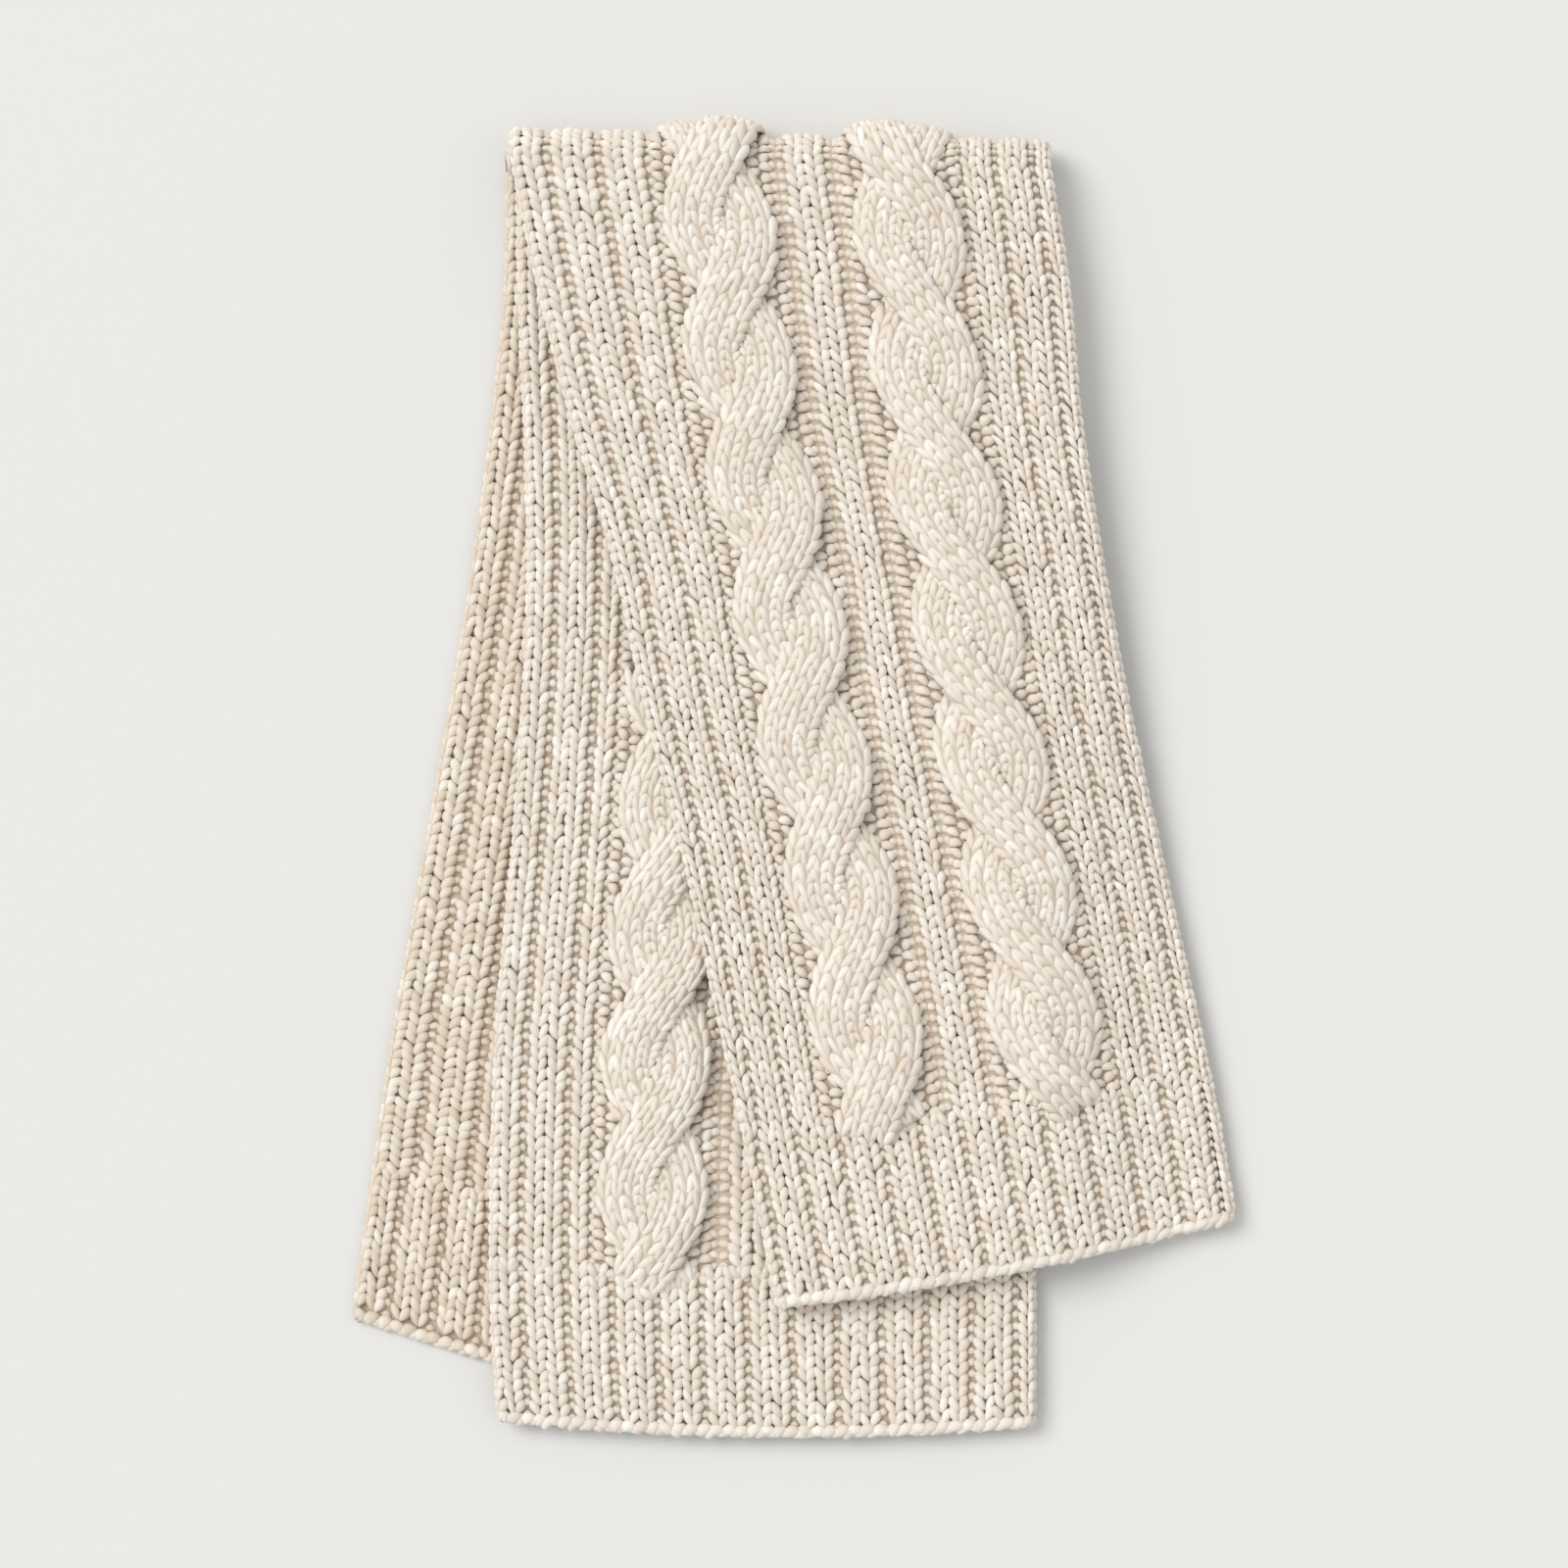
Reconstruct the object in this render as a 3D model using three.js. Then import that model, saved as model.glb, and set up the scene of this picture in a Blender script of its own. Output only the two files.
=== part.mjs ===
// A chunky cable-knit scarf, folded in half lengthwise and then across, laid on a flat surface.
// Millimetres. +Z is up from the surface, +Y points to the crosswise fold, +X to the lengthwise fold.
// Four layers of knit lie on each other: the under tail, the middle tail, the front's inner layer and the
// front tail. The two front layers run round the crosswise fold and carry on as the two tails below.

import * as THREE from 'three';
import { mergeVertices } from 'three/addons/utils/BufferGeometryUtils.js';

// Driving dimensions.
const CLOTH = 7;                              // thickness of one layer of the knit
const GAP = 0.3;                              // clearance between pieces
const LAYER = CLOTH + GAP;                    // rise from one layer to the next
const STACK = 3 * LAYER + CLOTH;              // height of the four layers
const FOLD_MIDDLE = STACK / 2;                // height of the crosswise fold's axis
const HOOK = (2 * CLOTH + GAP) / 2;           // radius of the lengthwise fold
const FOLD_STEPS = 8;                         // facets round the crosswise fold
const ACROSS = 12;                            // facets across a panel
const HOOK_FACETS = 6;                        // facets round the lengthwise fold
const EDGE_FACETS = 3;                        // facets round a plain edge
const ROWS_PER_STATION = 2;                   // facets along, between two stations of a table
const DROP_WIDTH = 75;                        // how far the front takes to sink to the surface
const INNER_INSET = 3;                        // the inner layer lies this far inside the front's left edge
const INNER_REACH = 0.035;                    // and this part of a station below its hem
const INNER_THICKNESS = 0.9;                  // pressed a little thinner between its neighbours
const SEAM = 0.004;                           // the clearance at a hem, as a part of a station
const BEVEL = 0.03;                           // the rounded end of a hem, as a part of a station
const END_THICKNESS = 0.55;                   // thickness left at that end

// Cables: two flat strands twisted round each other.
const CABLE_HALF_WIDTH = 28;
const STRAND_SWAY = 14;                       // how far a strand's middle swings from the cable's middle
const STRAND_HALF_WIDTH = 15;
const CROSSING = 67;                          // length from one crossing to the next
const CABLE_ACROSS = 8;
const CABLE_STEP = 13;

// Edges in plan, one row for each station from the crosswise fold down to the hem's end.
const FRONT = [
  { leftX: -145, leftY: 318, rightX: 131, rightY: 312 },
  { leftX: -132, leftY: 254, rightX: 141, rightY: 250 },
  { leftX: -115, leftY: 186, rightX: 147, rightY: 184 },
  { leftX: -93, leftY: 112, rightX: 158, rightY: 112 },
  { leftX: -77, leftY: 38, rightX: 171, rightY: 42 },
  { leftX: -58, leftY: -36, rightX: 186, rightY: -26 },
  { leftX: -42, leftY: -110, rightX: 201, rightY: -92 },
  { leftX: -26, leftY: -184, rightX: 214, rightY: -153 },
  { leftX: -10, leftY: -266, rightX: 226, rightY: -222 },
];
const MIDDLE = [
  { leftX: -143, leftY: 318, rightX: 131, rightY: 312 },
  { leftX: -141, leftY: 234, rightX: 141, rightY: 232 },
  { leftX: -137, leftY: 110, rightX: 135, rightY: 110 },
  { leftX: -143, leftY: -10, rightX: 130, rightY: -10 },
  { leftX: -153, leftY: -130, rightX: 125, rightY: -130 },
  { leftX: -156, leftY: -249, rightX: 124, rightY: -247 },
  { leftX: -152, leftY: -324, rightX: 124, rightY: -327 },
];
const UNDER = [
  { leftX: -147, leftY: 318, rightX: 119, rightY: 312 },
  { leftX: -150, leftY: 234, rightX: 128, rightY: 232 },
  { leftX: -165, leftY: 110, rightX: 123, rightY: 110 },
  { leftX: -185, leftY: -10, rightX: 118, rightY: -10 },
  { leftX: -204, leftY: -118, rightX: 113, rightY: -130 },
  { leftX: -216, leftY: -200, rightX: 112, rightY: -240 },
  { leftX: -226, leftY: -272, rightX: 112, rightY: -316 },
];

// One row for each panel: its layer counted from the surface, whether its right edge rolls over the layer
// below, how far its rows bow at the hem, and the station where its ribbed hem starts.
const frontPanel = { rows: FRONT, level: 3, hooked: true, bow: -4, hemStation: 7 };
const innerPanel = { rows: FRONT, level: 2, hooked: false, bow: -4, hemStation: 8 };
const middlePanel = { rows: MIDDLE, level: 1, hooked: true, bow: -7, hemStation: 5 };
const underPanel = { rows: UNDER, level: 0, hooked: false, bow: -20, hemStation: 5 };

function smooth(t) {
  const clamped = Math.min(Math.max(t, 0), 1);
  return clamped * clamped * (3 - 2 * clamped);
}

function edgeCurve(rows, side) {
  const points = rows.map((row) => new THREE.Vector3(row[`${side}X`], row[`${side}Y`], 0));
  return new THREE.CatmullRomCurve3(points);
}

// The middle tail's right edge at a distance along, which carries the front from below.
function middleRightEdge(y) {
  for (let i = 1; i < MIDDLE.length; i += 1) {
    const above = MIDDLE[i - 1];
    const below = MIDDLE[i];
    if (y >= below.rightY) {
      const part = (above.rightY - y) / (above.rightY - below.rightY);
      return above.rightX + (below.rightX - above.rightX) * Math.max(part, 0);
    }
  }
  return MIDDLE[MIDDLE.length - 1].rightX;
}

// The height of a layer's underside. Past the middle tail the two front layers sink to the surface.
function undersideHeight(level, x, y) {
  if (level < 2) {
    return level * LAYER;
  }
  const sunk = smooth((x - middleRightEdge(y)) / DROP_WIDTH);
  return 2 * LAYER * (1 - sunk) + (level - 2) * LAYER;
}

// A point of a panel. station counts along the table, across runs from 0 to 1, rise is the height over the
// panel's underside, and turn is the angle round the crosswise fold.
function panelPoint(panel, station, across, rise, turn = 0) {
  const last = panel.rows.length - 1;
  const along = Math.min(station / last, 1);
  const left = edgeCurve(panel.rows, 'left').getPoint(along);
  const right = edgeCurve(panel.rows, 'right').getPoint(along);
  const point = left.lerp(right, across);
  if (station > last) {
    const before = panelPoint(panel, last - 0.1, across, 0);
    const end = panelPoint(panel, last, across, 0);
    point.set(end.x, end.y, 0).addScaledVector(end.sub(before).setZ(0), (station - last) * 10);
  } else {
    point.y += panel.bow * 4 * across * (1 - across) * along * along;
  }
  if (turn > 0) {
    const radius = STACK / 2 - (3 - panel.level) * LAYER - (CLOTH - rise);
    point.y += radius * Math.sin(turn);
    point.z = FOLD_MIDDLE + radius * Math.cos(turn);
    return point;
  }
  point.z = undersideHeight(panel.level, point.x, point.y) + rise;
  return point;
}

function panelWidth(panel, station) {
  const last = panel.rows.length - 1;
  const along = Math.min(station / last, 1);
  const left = edgeCurve(panel.rows, 'left').getPoint(along);
  return left.distanceTo(edgeCurve(panel.rows, 'right').getPoint(along));
}

// Points of an arc in a section, without its ends.
function arcPoints(centreAcross, centreRise, radius, from, to, count) {
  const points = [];
  for (let i = 1; i < count; i += 1) {
    const angle = from + ((to - from) * i) / count;
    points.push([centreAcross + radius * Math.cos(angle), centreRise + radius * Math.sin(angle)]);
  }
  return points;
}

// The closed section across a panel, as [distance from the left edge, rise] pairs.
function panelSection(panel, width, inner) {
  const half = CLOTH / 2;
  const start = inner ? half + INNER_INSET : half;
  const full = width - HOOK;
  const end = inner ? full - GAP - half : full;
  const plainEnd = panel.hooked ? full : end;
  const stations = [];
  for (let i = 0; i <= ACROSS; i += 1) {
    stations.push(half + ((full - half) * i) / ACROSS);
  }
  stations[0] = start;
  stations[ACROSS] = plainEnd;
  const quarter = Math.PI / 2;
  const section = stations.map((distance) => [distance, CLOTH]);
  if (panel.hooked) {
    section.push(...arcPoints(full, CLOTH - HOOK, HOOK, quarter, -quarter, HOOK_FACETS));
    section.push([full, CLOTH - 2 * HOOK]);
  } else {
    section.push(...arcPoints(plainEnd, half, half, quarter, -quarter, EDGE_FACETS));
  }
  section.push(...stations.reverse().map((distance) => [distance, 0]));
  section.push(...arcPoints(start, half, half, 3 * quarter, quarter, EDGE_FACETS).map(([a, b]) => [a, CLOTH - b]).reverse());
  return section;
}

// The faces that close a ring, in the ring's own order. A ring runs along its top, down its right side, back
// along its bottom and up its left side; the top and the bottom have topCount points each.
function capFaces(ringCount, topCount, rightCount) {
  const faces = [];
  const bottomStart = topCount + rightCount;
  const below = (i) => bottomStart + topCount - 1 - i;
  for (let i = 0; i < topCount - 1; i += 1) {
    faces.push([i, i + 1, below(i + 1)]);
    faces.push([i, below(i + 1), below(i)]);
  }
  const sides = [
    [topCount - 1, rightCount],
    [bottomStart + topCount - 1, ringCount - bottomStart - topCount],
  ];
  for (const [start, count] of sides) {
    for (let k = 2; count > 0 && k <= count + 1; k += 1) {
      faces.push([start + 1, (start + k) % ringCount, k === count + 1 ? start : (start + k + 1) % ringCount]);
    }
  }
  return faces;
}

// A closed solid through rings of equal count that run clockwise, with its two ends capped.
function loftRings(rings, topCount, rightCount) {
  const count = rings[0].length;
  const positions = [];
  for (const ring of rings) {
    for (const point of ring) {
      positions.push(point.x, point.y, point.z);
    }
  }
  const indices = [];
  for (let row = 0; row < rings.length - 1; row += 1) {
    for (let i = 0; i < count; i += 1) {
      const next = (i + 1) % count;
      const a = row * count + i;
      const b = row * count + next;
      // Diagonals run the same way on a layer's upper and lower face, so that layers lie on each other.
      if (rings[row][next].x > rings[row][i].x) {
        indices.push(a, b, b + count, a, b + count, a + count);
      } else {
        indices.push(a, b, a + count, b, b + count, a + count);
      }
    }
  }
  const lastRing = (rings.length - 1) * count;
  for (const [a, b, c] of capFaces(count, topCount, rightCount)) {
    indices.push(a, c, b, lastRing + a, lastRing + b, lastRing + c);
  }
  const geometry = new THREE.BufferGeometry();
  geometry.setAttribute('position', new THREE.Float32BufferAttribute(positions, 3));
  geometry.setIndex(indices);
  return facingOut(mergeVertices(geometry, 1e-4));
}

// Turns a closed mesh's faces outwards.
function facingOut(geometry) {
  const position = geometry.attributes.position;
  const index = geometry.index;
  const [a, b, c] = [new THREE.Vector3(), new THREE.Vector3(), new THREE.Vector3()];
  let volume = 0;
  for (let i = 0; i < index.count; i += 3) {
    a.fromBufferAttribute(position, index.getX(i));
    b.fromBufferAttribute(position, index.getX(i + 1));
    c.fromBufferAttribute(position, index.getX(i + 2));
    volume += a.dot(b.cross(c));
  }
  if (volume < 0) {
    for (let i = 0; i < index.count; i += 3) {
      const second = index.getX(i + 1);
      index.setX(i + 1, index.getX(i + 2));
      index.setX(i + 2, second);
    }
  }
  geometry.computeVertexNormals();
  return geometry;
}

// A stretch of panel between two stations. A stretch that starts at the crosswise fold runs round it first.
function panelStretch(panel, from, to, { folded = false, inner = false, hemEnd = false } = {}) {
  const rings = [];
  const full = inner ? INNER_THICKNESS : 1;
  const ringAt = (station, turn, thickness) => {
    const width = panelWidth(panel, station);
    const middle = CLOTH / 2;
    return panelSection(panel, width, inner).map(([distance, rise]) => {
      const thinned = middle + (rise - middle) * thickness;
      return panelPoint(panel, station, distance / width, thinned, turn);
    });
  };
  if (folded) {
    for (let step = FOLD_STEPS; step > 0; step -= 1) {
      rings.push(ringAt(0, (Math.PI * step) / FOLD_STEPS, full));
    }
  }
  const bodyEnd = hemEnd ? to - BEVEL : to;
  rings.push(ringAt(from, 0, full));
  for (let row = Math.floor(from * ROWS_PER_STATION) + 1; row / ROWS_PER_STATION < bodyEnd; row += 1) {
    rings.push(ringAt(row / ROWS_PER_STATION, 0, full));
  }
  rings.push(ringAt(bodyEnd, 0, full));
  if (hemEnd) {
    rings.push(ringAt(to, 0, END_THICKNESS));
  }
  return loftRings(rings, ACROSS + 1, panel.hooked ? HOOK_FACETS : EDGE_FACETS - 1);
}

// How high a cable stands over the panel at a distance from its middle and along its length.
function cableHeight(offset, along) {
  const phase = (Math.PI * along) / CROSSING;
  let height = 1;
  for (const side of [0, Math.PI]) {
    const sway = STRAND_SWAY * Math.cos(phase + side);
    const lift = 1.6 * Math.sin(phase + side);
    const crown = 1 - ((offset - sway) / STRAND_HALF_WIDTH) ** 2;
    height = Math.max(height, 2.6 + lift + 3.6 * crown);
  }
  return height;
}

// A cable on a panel from one station to another, its middle running from one place across to another.
// rightLimit gives the x that it stays left of, where another layer lies on the cable.
function cable(panel, { from, to, startAcross, endAcross, foldTurns = 0, rightLimit = null }) {
  const rings = [];
  const span = panelPoint(panel, from, 0.5, 0).distanceTo(panelPoint(panel, to, 0.5, 0));
  const steps = Math.round(span / CABLE_STEP);
  const ringAt = (station, turn, along) => {
    const width = panelWidth(panel, station);
    const part = (station - from) / (to - from);
    const centre = (startAcross + (endAcross - startAcross) * part) * width;
    let reach = CABLE_HALF_WIDTH;
    if (rightLimit) {
      const middle = panelPoint(panel, station, centre / width, CLOTH);
      reach = Math.min(reach, rightLimit(middle.y) - middle.x);
    }
    const lower = [];
    const upper = [];
    for (let i = 0; i <= CABLE_ACROSS; i += 1) {
      const offset = -CABLE_HALF_WIDTH + ((reach + CABLE_HALF_WIDTH) * i) / CABLE_ACROSS;
      const across = (centre + offset) / width;
      const seat = CLOTH + GAP;
      lower.push(panelPoint(panel, station, across, seat, turn));
      upper.push(panelPoint(panel, station, across, seat + cableHeight(offset, along), turn));
    }
    return [...upper, ...lower.reverse()];
  };
  for (let step = foldTurns; step > 0; step -= 1) {
    const turn = (Math.PI * step) / FOLD_STEPS;
    rings.push(ringAt(from, turn, -turn * FOLD_MIDDLE));
  }
  for (let i = 0; i <= steps; i += 1) {
    rings.push(ringAt(from + ((to - from) * i) / steps, 0, (span * i) / steps));
  }
  return loftRings(rings, CABLE_ACROSS + 1, 0);
}

// The front tail's left edge at a distance along, which covers the middle cable from above.
function frontLeftEdge(y) {
  for (let i = 1; i < FRONT.length; i += 1) {
    const above = FRONT[i - 1];
    const below = FRONT[i];
    if (y >= below.leftY) {
      return above.leftX + ((below.leftX - above.leftX) * (above.leftY - y)) / (above.leftY - below.leftY);
    }
  }
  return FRONT[FRONT.length - 1].leftX;
}

const scarf = new THREE.Group();
function addPiece(name, color, geometry) {
  const material = new THREE.MeshStandardMaterial({ color, roughness: 0.95, metalness: 0 });
  const mesh = new THREE.Mesh(geometry, material);
  mesh.name = name;
  scarf.add(mesh);
}

const CREAM = 0xe6ddcd;
const OATMEAL = 0xdccfba;
const EDGE_CLEAR = 2.5;                       // the middle cable stays this far from the layers over it
const FRONT_HEM_END = FRONT.length - 1;
const MIDDLE_HEM_END = MIDDLE.length - 1;
const UNDER_HEM_END = UNDER.length - 1;

addPiece('front_tail', CREAM, panelStretch(frontPanel, 0, frontPanel.hemStation - SEAM, { folded: true }));
addPiece('front_hem', CREAM, panelStretch(frontPanel, frontPanel.hemStation, FRONT_HEM_END, { hemEnd: true }));
addPiece('front_cable_left', CREAM, cable(frontPanel, {
  from: 0, to: 6.75, startAcross: 0.371, endAcross: 0.3, foldTurns: 3,
}));
addPiece('front_cable_right', CREAM, cable(frontPanel, {
  from: 0, to: 6.75, startAcross: 0.715, endAcross: 0.672, foldTurns: 3,
}));
addPiece('front_inner', OATMEAL, panelStretch(innerPanel, 0, FRONT_HEM_END + INNER_REACH, {
  folded: true, inner: true, hemEnd: true,
}));
addPiece('middle_tail', CREAM, panelStretch(middlePanel, SEAM, middlePanel.hemStation - SEAM));
addPiece('middle_hem', CREAM, panelStretch(middlePanel, middlePanel.hemStation, MIDDLE_HEM_END, { hemEnd: true }));
addPiece('middle_cable', CREAM, cable(middlePanel, {
  from: 2.55, to: 4.9, startAcross: 0.3, endAcross: 0.3, rightLimit: (y) => frontLeftEdge(y) - EDGE_CLEAR,
}));
addPiece('under_tail', OATMEAL, panelStretch(underPanel, SEAM, underPanel.hemStation - SEAM));
addPiece('under_hem', OATMEAL, panelStretch(underPanel, underPanel.hemStation, UNDER_HEM_END, { hemEnd: true }));

// The origin is the middle of the pile, on the surface it lies on.
const bounds = new THREE.Box3().setFromObject(scarf);
const middle = bounds.getCenter(new THREE.Vector3());
scarf.position.set(-middle.x, -middle.y, -bounds.min.z);

export default scarf;
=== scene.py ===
# %% [markdown]
# # A chunky cable-knit scarf, folded and laid flat
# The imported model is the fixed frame: four stiff layers of cloth and three plain cables. Here every
# layer gets its real knitting. A knit stitch is two plump legs of yarn that make a V, and a purl stitch
# is a short bump that lies across, so two small shapes, copied by the thousand onto a curved sheet,
# make the whole fabric. The thin sheet under the stitches is the cloth's own backing.

import math
from collections import namedtuple

import bpy
import numpy as np
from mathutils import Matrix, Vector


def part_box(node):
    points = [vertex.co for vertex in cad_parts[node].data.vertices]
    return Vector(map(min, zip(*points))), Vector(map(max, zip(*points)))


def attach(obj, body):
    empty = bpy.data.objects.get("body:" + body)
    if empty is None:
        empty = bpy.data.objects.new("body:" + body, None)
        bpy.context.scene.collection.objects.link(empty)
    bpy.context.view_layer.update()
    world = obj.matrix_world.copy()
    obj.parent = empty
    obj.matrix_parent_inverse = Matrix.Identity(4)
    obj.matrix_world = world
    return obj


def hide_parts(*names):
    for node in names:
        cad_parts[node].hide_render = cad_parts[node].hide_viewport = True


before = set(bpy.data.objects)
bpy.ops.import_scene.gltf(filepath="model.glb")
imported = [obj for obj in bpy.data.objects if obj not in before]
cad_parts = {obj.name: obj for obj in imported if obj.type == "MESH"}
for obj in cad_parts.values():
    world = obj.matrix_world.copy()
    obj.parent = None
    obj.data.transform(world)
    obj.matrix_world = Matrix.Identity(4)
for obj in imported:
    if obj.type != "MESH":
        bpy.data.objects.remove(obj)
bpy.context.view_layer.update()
print("layers:", sorted(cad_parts))

# %% [markdown]
# ## Sizes
# All lengths are millimetres until a mesh is made. The layers' edges are the same stations as the
# frame's, counted from the crosswise fold down to the hem.

# %% Driving sizes
MM = 0.001
CLOTH = 7.0                     # one layer
GAP = 0.3                       # between two layers
LAYER = CLOTH + GAP
STACK = 3 * LAYER + CLOTH       # four layers, which is also how thick the crosswise fold is
HOOK = (2 * CLOTH + GAP) / 2    # radius of a lengthwise fold
EDGE = CLOTH / 2                # radius of a rounded edge
DROP_WIDTH = 75.0               # the front sinks to the surface over this width
ROW = 5.6                       # one row of stitches
SEED = 11
rng = np.random.default_rng(SEED)

FRONT = np.array([
    # leftX, leftY, rightX, rightY
    (-145, 318, 131, 312),
    (-132, 254, 141, 250),
    (-115, 186, 147, 184),
    (-93, 112, 158, 112),
    (-77, 38, 171, 42),
    (-58, -36, 186, -26),
    (-42, -110, 201, -92),
    (-26, -184, 214, -153),
    (-10, -266, 226, -222),
], dtype=float)
MIDDLE = np.array([
    (-143, 318, 131, 312),
    (-141, 234, 141, 232),
    (-137, 110, 135, 110),
    (-143, -10, 130, -10),
    (-153, -130, 125, -130),
    (-156, -249, 124, -247),
    (-152, -324, 124, -327),
], dtype=float)
UNDER = np.array([
    (-147, 318, 119, 312),
    (-150, 234, 128, 232),
    (-165, 110, 123, 110),
    (-185, -10, 118, -10),
    (-204, -118, 113, -130),
    (-216, -200, 112, -240),
    (-226, -272, 112, -316),
], dtype=float)

# The frame's origin is the middle of the pile. Two edges of the frame, read in the tables' own lengths
# too, give the shift between the two.
FRONT_HEM_RIGHT = 226.0
MIDDLE_HEM_LOW = -332.6
SHIFT_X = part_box("front_hem")[1][0] / MM - FRONT_HEM_RIGHT
SHIFT_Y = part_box("middle_hem")[0][1] / MM - MIDDLE_HEM_LOW
print("shift of the tables:", round(SHIFT_X, 2), round(SHIFT_Y, 2))


# %% [markdown]
# ## A layer as a curved sheet
# A layer is a mapping: how far along from the crosswise fold, how far across from the left edge and how
# high over its face give one point. It could be a grid that is bent by hand, but then the stitches would
# have to be bent too. With a mapping, a stitch made flat is laid on the sheet point by point, round both
# folds and over the edges.

# %% The mapping
def smooth(t):
    t = np.clip(t, 0, 1)
    return t * t * (3 - 2 * t)


def catmull(points, u):
    """A smooth curve through a column of numbers, at places counted in rows."""
    last = len(points) - 1
    i = np.clip(np.floor(u).astype(int), 0, last - 1)
    t = u - i
    before = np.where(i > 0, points[np.maximum(i - 1, 0)], 2 * points[0] - points[1])
    after = np.where(i < last - 1, points[np.minimum(i + 2, last)], 2 * points[last] - points[last - 1])
    p1, p2 = points[i], points[i + 1]
    return p1 + 0.5 * t * (p2 - before + t * (2 * before - 5 * p1 + 4 * p2 - after
                                              + t * (3 * (p1 - p2) + after - before)))


STATION_STEPS = 400
MIN_RADIUS = 1.0                # the lower layers start at the fold and never turn round it


class Layer:
    """One layer of the folded cloth. level counts up from the surface, a hooked layer rolls over at the
    right, bow moves the middle of the hem in y, and the ribbed hem starts at hem_station."""

    def __init__(self, table, level, hooked, bow, hem_station):
        self.table, self.level, self.hooked, self.bow = table, level, hooked, bow
        stations = np.linspace(0, len(table) - 1, STATION_STEPS)
        x = (catmull(table[:, 0], stations) + catmull(table[:, 2], stations)) / 2
        y = (catmull(table[:, 1], stations) + catmull(table[:, 3], stations)) / 2
        steps = np.hypot(np.diff(x), np.diff(y))
        self.stations = stations
        self.lengths = np.concatenate([[0], np.cumsum(steps)])
        self.length = self.lengths[-1]
        self.hem = float(np.interp(hem_station, stations, self.lengths))
        self.radius = STACK / 2 - (3 - level) * LAYER

    def sides(self, along):
        """The row's place among the stations, and its left and right ends."""
        u = np.interp(np.maximum(along, 0), self.lengths, self.stations)
        return u, *(catmull(self.table[:, column], u) for column in range(4))

    def width(self, along):
        _, lx, ly, rx, ry = self.sides(along)
        return np.hypot(rx - lx, ry - ly)

    def at(self, along, across, height):
        """Points for arrays of along, across and height over the layer's face."""
        u, lx, ly, rx, ry = self.sides(along)
        width = np.hypot(rx - lx, ry - ly)

        # Past either side the sheet turns down: round a thin edge, or over the lengthwise fold.
        right_radius = HOOK if self.hooked else EDGE
        past_left = np.clip((EDGE - across) / EDGE, 0, math.pi)
        past_right = np.clip((across - (width - right_radius)) / right_radius, 0, math.pi)
        place = np.where(past_left > 0, EDGE - (EDGE + height) * np.sin(past_left), across)
        rise = np.where(past_left > 0, -EDGE + (EDGE + height) * np.cos(past_left), height)
        turned = past_right > 0
        place = np.where(turned, width - right_radius + (right_radius + height) * np.sin(past_right), place)
        rise = np.where(turned, -right_radius + (right_radius + height) * np.cos(past_right), rise)
        part = place / width
        x = lx + (rx - lx) * part
        y = ly + (ry - ly) * part
        y = y + self.bow * 4 * part * (1 - part) * (u / (len(self.table) - 1)) ** 2

        # Past the hem the sheet runs straight on, and before the top it turns round the crosswise fold.
        beyond = np.maximum(along - self.length, 0)
        x = x + beyond * (ry - ly) / width
        y = y - beyond * (rx - lx) / width
        turn = np.clip(-along / max(self.radius, MIN_RADIUS), 0, math.pi)
        folded = turn > 0
        ring = self.radius + rise
        z_flat = self.under(x, y) + CLOTH + rise
        # Yarn that reaches the surface below is pressed flat on it.
        z = np.maximum(np.where(folded, STACK / 2 + ring * np.cos(turn), z_flat), 0)
        y = np.where(folded, y + ring * np.sin(turn), y)
        return np.stack([x + SHIFT_X, y + SHIFT_Y, z], axis=-1)

    def under(self, x, y):
        """Height of the layer's underside. Past the middle layer the front sinks to the surface."""
        if self.level < 2:
            return np.full_like(x, self.level * LAYER)
        order = np.argsort(MIDDLE[:, 3])
        edge = np.interp(y, MIDDLE[order, 3], MIDDLE[order, 2])
        sunk = smooth((x - edge) / DROP_WIDTH)
        return 2 * LAYER * (1 - sunk) + (self.level - 2) * LAYER


front = Layer(FRONT, 3, True, -4.0, 7)
inner = Layer(FRONT, 2, False, -4.0, 8)
middle = Layer(MIDDLE, 1, True, -7.0, 5)
under = Layer(UNDER, 0, False, -20.0, 5)
print("front length", round(front.length), "mm, hem starts at", round(front.hem))


# %% [markdown]
# ## The two small shapes
# A leg is a spindle of yarn, thin where it comes out of the stitch below and plump where it turns under
# the next one. A bump is a short arched spindle that lies across. Each has a few dozen faces, because it
# is repeated thousands of times. They are arrays rather than objects, so that copying them is quick.

# %% Spindles
SIDES = 6


def spindle(path, radii, flat=0.85):
    """Points and faces of a closed spindle along a short path of (across, along, height)."""
    path = np.array(path, dtype=float)
    direction = np.gradient(path, axis=0)
    points = [path[0]]
    for centre, radius, way in zip(path[1:-1], radii, direction[1:-1]):
        side = np.cross(way, (0, 0, 1))
        side /= np.linalg.norm(side)
        up = np.cross(side, way)
        up /= np.linalg.norm(up)
        for k in range(SIDES):
            angle = 2 * math.pi * k / SIDES
            points.append(centre + radius * (side * math.cos(angle) + flat * up * math.sin(angle)))
    points.append(path[-1])
    rings = len(radii)
    end = rings * SIDES + 1
    faces = []
    for k in range(SIDES):
        n = (k + 1) % SIDES
        faces.append((0, 1 + n, 1 + k, 1 + k))
        last = 1 + (rings - 1) * SIDES
        faces.append((last + k, last + n, end, end))
        for ring in range(rings - 1):
            a = 1 + ring * SIDES
            faces.append((a + k, a + n, a + SIDES + n, a + SIDES + k))
    return np.array(points), np.array(faces)


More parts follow.
